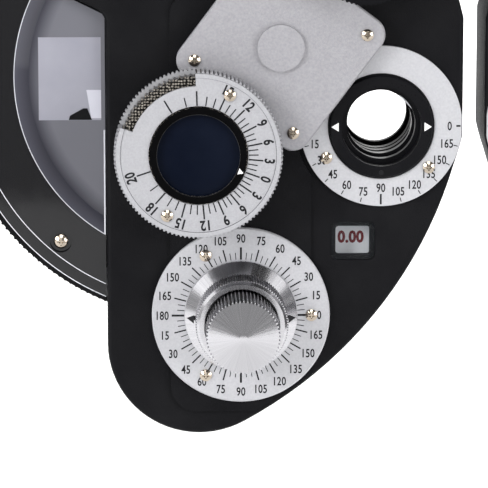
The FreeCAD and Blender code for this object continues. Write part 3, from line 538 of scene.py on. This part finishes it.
def sight_scale(half):
    """Cylinder axis numbers round the sight hole."""
    body = half + "_half"
    centre = front_of(half + "_pointer_ring")[0]
    face = front_of(half + "_aperture_plate")[1]
    marks = Print(centre, face)
    for degrees in range(0, 181, 15):
        bold = degrees % 90 == 0
        seen = -degrees
        inner = 20.7 * MM if degrees == 90 else 22.6 * MM
        marks.tick(seen, inner, 23.9 * MM, (0.55 if bold else 0.28) * MM)
        if degrees < 180:
            radius = (18.8 if degrees == 90 else 20.6) * MM
            label = str((180 - degrees) % 180)
            marks.text(label, radius, seen, 2.55 * MM)
    marks.done(half + "_sight_scale", body, PAINT["ink_black"])
    ring_centre, ring_face = front_of(half + "_pointer_ring")
    pointers = Print(ring_centre, ring_face)
    for degrees in (0, 180):
        pointers.triangle(degrees, 15.1 * MM, 12.9 * MM, 1.35 * MM)
    pointers.done(half + "_sight_pointers", half + "_axis_pointer", PAINT["ink_white"])
    # Black dot for the small hole at the bottom of the pointer ring: painted shade of the hole.
    dimple_shade = Print(ring_centre, ring_face)
    dimple_shade.dot(0, -13.9 * MM, 0.75 * MM)
    dimple_shade.done(half + "_pointer_dimple_shade", half + "_axis_pointer", PAINT["ink_black"])


def axis_scale(half):
    """Full circle of axis numbers on the lower plate."""
    centre, face = front_of(half + "_axis_plate")
    marks = Print(centre, face)
    for degrees in range(0, 360, 5):
        if degrees % 90 == 0:
            marks.tick(degrees, 17.2 * MM, 21.0 * MM, 0.62 * MM)
        elif degrees % 15 == 0:
            marks.tick(degrees, 17.2 * MM, 20.9 * MM, 0.42 * MM)
        else:
            marks.tick(degrees, 17.2 * MM, 19.4 * MM, 0.24 * MM)
        if degrees % 15 == 0:
            marks.text(str(degrees % 180 or degrees), 23.75 * MM, degrees, 2.55 * MM)
    marks.done(half + "_axis_scale", half + "_half", PAINT["ink_black"])
    pointers = Print(centre, face - 2.9 * MM, 17.1 * MM)
    for degrees in (0, 180):
        pointers.triangle(degrees, 16.5 * MM, 14.3 * MM, 1.3 * MM)
    pointers.done(half + "_knob_pointers", half + "_cyl_axis", PAINT["ink_black"])


def prism_scale(half, side):
    """Prism power numbers on the bezel face, tops outwards, and the white pointer."""
    centre, front = front_of(half + "_prism_rotor")
    face = front + 0.7 * MM
    marks = Print(centre, face)
    zero = -20.0 if side < 0 else 200.0
    for way in (-1, 1):
        for power in range(0, 21):
            if way < 0 and power == 0:
                continue
            degrees = zero + way * 1.8 * math.degrees(math.asin(power / 20.4))
            long_mark = power % 3 == 0 or power == 20
            outer = 19.3 if long_mark else 17.8
            marks.tick(degrees, 14.9 * MM, outer * MM, (0.46 if long_mark else 0.34) * MM)
            hidden = side < 0 and 88 < degrees % 360 < 164 or side > 0 and 16 < degrees % 360 < 92
            if long_mark and not hidden:
                marks.text(str(power), 21.2 * MM, degrees, 2.9 * MM, degrees - 90, 0.8, 0.03)
    marks.done(half + "_prism_scale", half + "_prism_unit", PAINT["ink_black"])
    # Thin dark ring along the seam in the bezel face: painted shade in the groove.
    disc_ring(half + "_prism_seam_shade", centre, face, 23.10 * MM, 23.22 * MM, half + "_prism_unit",
              PAINT["groove_shade"], 0.02 * MM)
    pointer = Print(centre, front)
    pointer.triangle(zero + 1.5 * side, 14.3 * MM, 12.7 * MM, 0.95 * MM)
    pointer.done(half + "_prism_pointer", half + "_prism_drive", PAINT["ink_white"])


def disc_ring(name, centre, depth, inner, outer, body, finish, lift=0.05 * MM, steps=192):
    """A thin flat ring in front of a face."""
    made = bmesh.new()
    rows = []
    for radius, back in ((inner, 0), (inner, lift), (outer, lift), (outer, 0)):
        row = []
        for index in range(steps):
            angle = 2 * math.pi * index / steps
            spot = (centre[0] + radius * math.cos(angle), depth - back, centre[2] + radius * math.sin(angle))
            row.append(made.verts.new(spot))
        rows.append(row)
    join_loops(made, rows + rows[:1])
    return add_piece(name, mesh_of(name, made), body, finish)


def power_scale(half):
    """Pale labels between the cylinder disc's seats, one of which shows in the window."""
    body = half + "_cyl_disc"
    centre = axis_point(half + "_main_shaft")
    window = axis_point(half + "_window_pane")
    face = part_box(half + "_cylinder_lenses")[0].y - 0.6 * MM
    across = window.x - centre.x
    up = window.z - centre.z
    radius = math.hypot(across, up)
    at_window = math.degrees(math.atan2(up - 0.5 * MM, across))
    labels = Print(centre, face)
    digits = Print(centre, face - 2 * INK_THICK)
    wide, high = 5.6 * MM, 5.9 * MM
    for index in range(CYLINDER_STEPS):
        turn = 360.0 * index / CYLINDER_STEPS
        angle = math.radians(turn)
        middle = Vector((radius * math.cos(math.radians(at_window + turn)),
                         radius * math.sin(math.radians(at_window + turn))))
        corners = ((-wide, -high), (wide, -high), (wide, high), (-wide, high))
        labels.prism([(middle.x + x * math.cos(angle) - z * math.sin(angle),
                       middle.y + x * math.sin(angle) + z * math.cos(angle)) for x, z in corners])
        digits.text("%.2f" % (0.25 * index), radius, at_window + turn, 3.4 * MM, turn, 0.9, 0.045)
    labels.done(half + "_power_labels", body, PAINT["pale_scale"])
    digits.done(half + "_power_digits", body, PAINT["ink_red"])


for half, side in SIDES:
    sight_scale(half)
    axis_scale(half)
    prism_scale(half, side)
    power_scale(half)


# ---- small pieces --------------------------------------------------------------------------

def cover_cut(half, side):
    """The x of the straight edge where a half's clear cover meets its housing."""
    low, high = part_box(half + "_clear_cover")
    return low.x if side > 0 else high.x


def cover_limit(half, side, radius):
    """How far an arc about the main shaft runs to each side before it meets the cover's cut."""
    cut = cover_cut(half, side) + side * 0.1 * MM
    return math.acos(min(1, abs(cut - axis_point(half + "_main_shaft").x) / radius))


def sphere_label(half, side):
    """Printed readout field on the clear cover, with the power window's pointer."""
    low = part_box(half + "_clear_cover")[0]
    shaft = axis_point(half + "_main_shaft")
    inner = cover_cut(half, side)
    face = low.y + 1.6 * MM
    start, end, bottom, top = 1.2 * MM, 20.0 * MM, -13.2 * MM, 12.0 * MM
    label = Print(Vector((inner, 0, shaft.z)), face)
    label.prism([(side * start, bottom), (side * end, bottom), (side * end, top), (side * start, top)])
    label.done(half + "_sphere_label", half + "_half", PAINT["label_grey"])
    pale = Print(Vector((inner, 0, shaft.z)), face - 2 * INK_THICK)
    pale.prism([(side * start, bottom + 0.6 * MM), (side * 4.2 * MM, bottom + 0.6 * MM),
                (side * 5.6 * MM, -4 * MM), (side * start, -4 * MM)])
    pale.done(half + "_sphere_readout", half + "_half", PAINT["label_pale"])
    marker = Print(Vector((inner, 0, shaft.z)), face - 3 * INK_THICK)
    marker.prism([(side * 4.0 * MM, bottom + 0.1 * MM), (side * 11.0 * MM, bottom + 0.1 * MM),
                  (side * 10.6 * MM, bottom + 1.4 * MM), (side * 6.6 * MM, bottom + 3.6 * MM),
                  (side * 5.4 * MM, bottom + 3.6 * MM)])
    marker.done(half + "_sphere_marker", half + "_half", PAINT["black_satin"])


def cover_edges(half, side):
    """Light grey bars along the clear cover's step edges, where its fields step: painted highlights standing
    in for the glint of polished edges, cut off at the housing.
    """
    shaft = axis_point(half + "_main_shaft")
    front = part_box(half + "_clear_cover")[0].y
    steps, corners = 160, 6
    wide, tall = 0.13 * MM, 0.10 * MM
    for name, radius, depth in (("outer", 73.45, 1.4), ("band", 69.6, 0.0), ("slope", 56.1, 0.0)):
        radius = radius * MM
        limit = cover_limit(half, side, radius)
        made = bmesh.new()
        rows = []
        for index in range(steps + 1):
            angle = -limit + 2 * limit * index / steps
            row = []
            for corner in range(corners):
                turn = 2 * math.pi * corner / corners
                far = radius + wide * math.cos(turn)
                row.append(made.verts.new((shaft.x + side * far * math.cos(angle),
                                           front + depth * MM + tall * math.sin(turn),
                                           shaft.z + far * math.sin(angle))))
            rows.append(row)
        join_loops(made, rows)
        made.faces.new(rows[0])
        made.faces.new(rows[-1][::-1])
        piece = "%s_cover_%s_edge" % (half, name)
        add_piece(piece, mesh_of(piece, made), half + "_half", PAINT["painted_edge_highlight"])


def cover_lip(half, side):
    """Black lip of the cover over the rim of the cylinder disc, outside the clear part."""
    shaft = axis_point(half + "_main_shaft")
    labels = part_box(half + "_cylinder_lenses")[0].y - 0.6 * MM
    inner, outer, steps = 73.3 * MM, 75.5 * MM, 80
    outline = []
    for radius, order in ((inner, 1), (outer, -1)):
        limit = cover_limit(half, side, radius)
        for index in range(steps + 1)[::order]:
            angle = -limit + 2 * limit * index / steps
            outline.append((side * radius * math.cos(angle), radius * math.sin(angle)))
    lip = Print(shaft, labels - 0.4 * MM)
    lip.prism(outline)
    lip.done(half + "_cover_lip", half + "_half", PAINT["black_satin"])


def cover_cut_edge(half, side):
    """Bright upright bar where the cover meets the housing: a painted highlight on the cover's cut edge."""
    sight = axis_point(half + "_pointer_ring")
    near, far, bottom, top = side * 0.1 * MM, side * 0.5 * MM, -33.5 * MM, -1.5 * MM
    edge = Print(Vector((cover_cut(half, side), 0, sight.z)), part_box(half + "_clear_cover")[0].y)
    edge.prism([(near, bottom), (far, bottom), (far, top), (near, top)])
    edge.done(half + "_cover_cut_edge", half + "_half", PAINT["painted_edge_highlight"])


def knob_marks(half):
    """White index lines on the strong sphere and auxiliary knobs, dots on the flip lens."""
    for knob, body in (("strong_sphere_knob", "strong_knob"), ("auxiliary_knob", "aux_knob")):
        marks = Print(*front_of("%s_%s" % (half, knob)))
        marks.tick(90, 8.4 * MM, 11.6 * MM, 0.8 * MM)
        marks.done("%s_%s_mark" % (half, knob), "%s_%s" % (half, body), PAINT["ink_white"])
    low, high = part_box(half + "_cross_cylinder_lens")
    centre = (low + high) / 2
    face = centre.y - 1.4 * MM
    for name, finish, spots in (("red", "ink_red", (0, 180)), ("white", "ink_white", (90, 270))):
        dots = Print(centre, face)
        for degrees in spots:
            angle = math.radians(degrees + 45)
            dots.dot(9.9 * MM * math.cos(angle), 9.9 * MM * math.sin(angle), 0.6 * MM)
        dots.done("%s_flip_%s_dots" % (half, name), half + "_cross_flip", PAINT[finish])


def lens_rims(half):
    """Dark rim round the prism lens with a thin line of painted shade at the lens's edge, and bright rim
    round the flip lens.
    """
    centre = axis_point(half + "_prism_lens")
    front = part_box(half + "_prism_rotor")[0].y
    disc_ring(half + "_prism_face_ring", centre, front, 12.42 * MM, 14.45 * MM,
              half + "_prism_drive", PAINT["lens_black"], 0.02 * MM, 96)
    # Thin dark ring in the gap between the prism lens and its rim: painted shade.
    disc_ring(half + "_prism_lens_edge", centre, front, 12.28 * MM, 12.4 * MM,
              half + "_prism_drive", PAINT["groove_shade"], 0.04 * MM, 96)
    flip = axis_point(half + "_cross_cylinder_lens")
    disc_ring(half + "_flip_rim", flip, flip.y - 1.4 * MM, 8.9 * MM, 10.9 * MM,
              half + "_cross_flip", PAINT["steel"], 0.35 * MM, 96)


def add_rod(shape, middle, radius, length):
    """A cylinder along X in a shape."""
    place = Matrix.Translation((middle, 0, 0)) @ Matrix.Rotation(math.pi / 2, 4, "Y")
    bmesh.ops.create_cone(shape, cap_ends=True, segments=40, radius1=radius, radius2=radius,
                          depth=length, matrix=place)


def level_vial():
    """Bubble level on the front of the bridge block, above the pupil distance knob."""
    spot = Vector((0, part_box("bridge_block")[0].y - 0.3 * MM,
                   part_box("pupil_distance_knob")[1].z + 0.6 * MM))
    shell = bmesh.new()
    add_rod(shell, 0, 1.7 * MM, 20 * MM)
    data = mesh_of("level_vial", shell)
    data.transform(Matrix.Translation(spot))
    tube = add_piece("level_vial", data, "bridge", PAINT["vial_green"])
    tube.modifiers.new("soft", "BEVEL").width = 0.4 * MM
    caps = bmesh.new()
    for middle, wide in ((-10.2, 1.2), (10.2, 1.2), (-2.2, 0.25), (2.2, 0.25)):
        add_rod(caps, middle * MM, 1.95 * MM, wide * MM)
    data = mesh_of("level_vial_caps", caps)
    data.transform(Matrix.Translation(spot))
    add_piece("level_vial_caps", data, "bridge", PAINT["ink_black"])


def pupil_scale():
    """Distance marks on a strip along the bottom of the bridge block."""
    low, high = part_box("guide_rods")
    marks = Print(Vector((0, 0, (low.z + high.z) / 2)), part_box("bridge_block")[0].y)
    pitch, half_width, bottom = 2.0 * MM, 0.1 * MM, -16 * MM
    for index in range(-7, 8):
        left, right = index * pitch - half_width, index * pitch + half_width
        top = bottom + (2.6 if index % 5 == 0 else 1.6) * MM
        marks.prism([(left, bottom), (right, bottom), (right, top), (left, top)])
    marks.done("pupil_distance_scale", "bridge", PAINT["ink_white"])


def forehead_cushion():
    """Crowned pad with a sewn edge, bowed to the forehead, in place of its plain block."""
    low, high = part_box("forehead_pad")
    middle, half = (low + high) / 2, (high - low) / 2
    steps = 96
    profile = ((0.35, -0.55), (0.80, -0.55), (0.95, -0.50), (0.995, -0.36), (1.0, -0.18), (0.975, -0.10),
               (0.95, -0.07), (0.975, -0.03), (1.0, 0.06), (0.99, 0.22), (0.94, 0.42), (0.85, 0.58),
               (0.70, 0.70), (0.52, 0.78), (0.32, 0.82))
    shape = bmesh.new()
    rows = []
    for scale, depth in profile:
        row = []
        for index in range(steps):
            angle = 2 * math.pi * index / steps
            across = math.copysign(abs(math.cos(angle)) ** 0.42, math.cos(angle)) * scale
            up = math.copysign(abs(math.sin(angle)) ** 0.62, math.sin(angle)) * scale
            pucker = 1 + 0.012 * math.sin(24 * angle) if 0.94 < scale < 0.98 else 1
            bow = 0.55 * across * across - 0.1
            spot = middle + Vector((half.x * across, half.y * (depth * pucker + bow), half.z * up))
            row.append(shape.verts.new(spot))
        rows.append(row)
    join_loops(shape, rows)
    shape.faces.new(rows[0][::-1])
    shape.faces.new(rows[-1])
    for face in shape.faces:
        face.smooth = True
    cushion = add_piece("forehead_cushion", mesh_of("forehead_cushion", shape), "forehead_rest",
                        PAINT["pad_vinyl"])
    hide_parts("forehead_pad")


for half, side in SIDES:
    sphere_label(half, side)
    cover_edges(half, side)
    cover_lip(half, side)
    cover_cut_edge(half, side)
    knob_marks(half)
    lens_rims(half)
level_vial()
pupil_scale()
forehead_cushion()


# ---- studio --------------------------------------------------------------------------------

def soft_light(name, spot, target, size, power, tint=(1, 1, 1)):
    """A square area light that isn't seen directly."""
    lamp = bpy.data.lights.new(name, "AREA")
    lamp.shape = "SQUARE"
    lamp.size = size
    lamp.energy = power
    lamp.color = tint
    item = bpy.data.objects.new(name, lamp)
    item.location = spot
    item.rotation_euler = (Vector(target) - Vector(spot)).to_track_quat("-Z", "Y").to_euler()
    item.visible_camera = False
    bpy.context.scene.collection.objects.link(item)


def studio():
    """Pale table top with its near edge in front of the instrument, white backdrop and soft lights."""
    low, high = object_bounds()
    floor = bpy.data.meshes.new("floor")
    size, near = 6.0, -0.74
    level = low.z - 0.06
    floor.from_pydata([(-size, near, level), (size, near, level), (size, size, level), (-size, size, level)],
                      [], [(0, 1, 2, 3)])
    item = bpy.data.objects.new("floor", floor)
    bpy.context.scene.collection.objects.link(item)
    floor.materials.append(finish_of("floor", (0.93, 0.93, 0.93), (0.94, 0.94, 0.94), 0.0,
                                     (0.8, 0.85), 40, 0.0, gloss=0.1))
    item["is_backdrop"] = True
    world = bpy.data.worlds.new("studio")
    bpy.context.scene.world = world
    world.use_nodes = True
    tree = world.node_tree
    back = tree.nodes["Background"]
    back.inputs["Color"].default_value = (1, 1, 1, 1)
    towards = tree.nodes.new("ShaderNodeSeparateXYZ")
    tree.links.new(tree.nodes.new("ShaderNodeTexCoord").outputs["Generated"], towards.inputs[0])
    shade = tree.nodes.new("ShaderNodeMath")
    shade.operation = "MULTIPLY"
    tree.links.new(spread(tree, towards.outputs["Y"], 0.42, 0.95, -0.1, 0.4), shade.inputs[0])
    tree.links.new(spread(tree, towards.outputs["Z"], 1, 0.12, 0.35, 0.85), shade.inputs[1])
    tree.links.new(shade.outputs[0], back.inputs["Strength"])
    seen = tree.nodes.new("ShaderNodeBackground")
    seen.inputs["Color"].default_value = (1, 1, 1, 1)
    rays = tree.nodes.new("ShaderNodeLightPath")
    both = tree.nodes.new("ShaderNodeMixShader")
    tree.links.new(rays.outputs["Is Camera Ray"], both.inputs[0])
    tree.links.new(back.outputs[0], both.inputs[1])
    tree.links.new(seen.outputs[0], both.inputs[2])
    tree.links.new(both.outputs[0], tree.nodes["World Output"].inputs["Surface"])
    centre = (low + high) / 2
    soft_light("key", centre + Vector((-1.2, -1.2, 0.5)), centre, 0.8, 24)
    soft_light("fill", centre + Vector((1.3, -1.1, 0.2)), centre, 0.8, 18)
    soft_light("top", centre + Vector((0.0, -1.3, 1.3)), centre, 0.9, 12)
    soft_light("left_bank", centre + Vector((-1.2, -0.2, 0.75)), centre, 0.8, 2.5)
    soft_light("right_bank", centre + Vector((1.2, -0.2, 0.75)), centre, 0.8, 2.5)
    soft_light("back", centre + Vector((0.4, 1.6, 0.8)), centre, 1.0, 10)
    soft_light("floor_wash", Vector((0, 1.6, level + 1.5)), (0, 1.7, level), 2.0, 50)


def camera():
    """Long lens on the examiner's side, a little above the half before the patient's right eye."""
    sight, face = front_of("right_pointer_ring")
    plate_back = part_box("right_aperture_plate")[1].y
    target = Vector((sight.x - 41.3 * MM, plate_back, sight.z - 36.2 * MM))
    azimuth, elevation, distance = math.radians(-1.4), math.radians(11), 1.070
    back = Vector((math.sin(azimuth) * math.cos(elevation), -math.cos(azimuth) * math.cos(elevation),
                   math.sin(elevation)))
    lens = bpy.data.cameras.new("camera")
    lens.sensor_width = 36
    lens.lens = 260.5
    lens.clip_start, lens.clip_end = 0.05, 30
    item = bpy.data.objects.new("camera", lens)
    item.location = target + back * distance
    item.rotation_euler = (-back).to_track_quat("-Z", "Y").to_euler()
    bpy.context.scene.collection.objects.link(item)
    bpy.context.scene.camera = item


studio()
camera()
bpy.context.scene.view_settings.view_transform = "Standard"
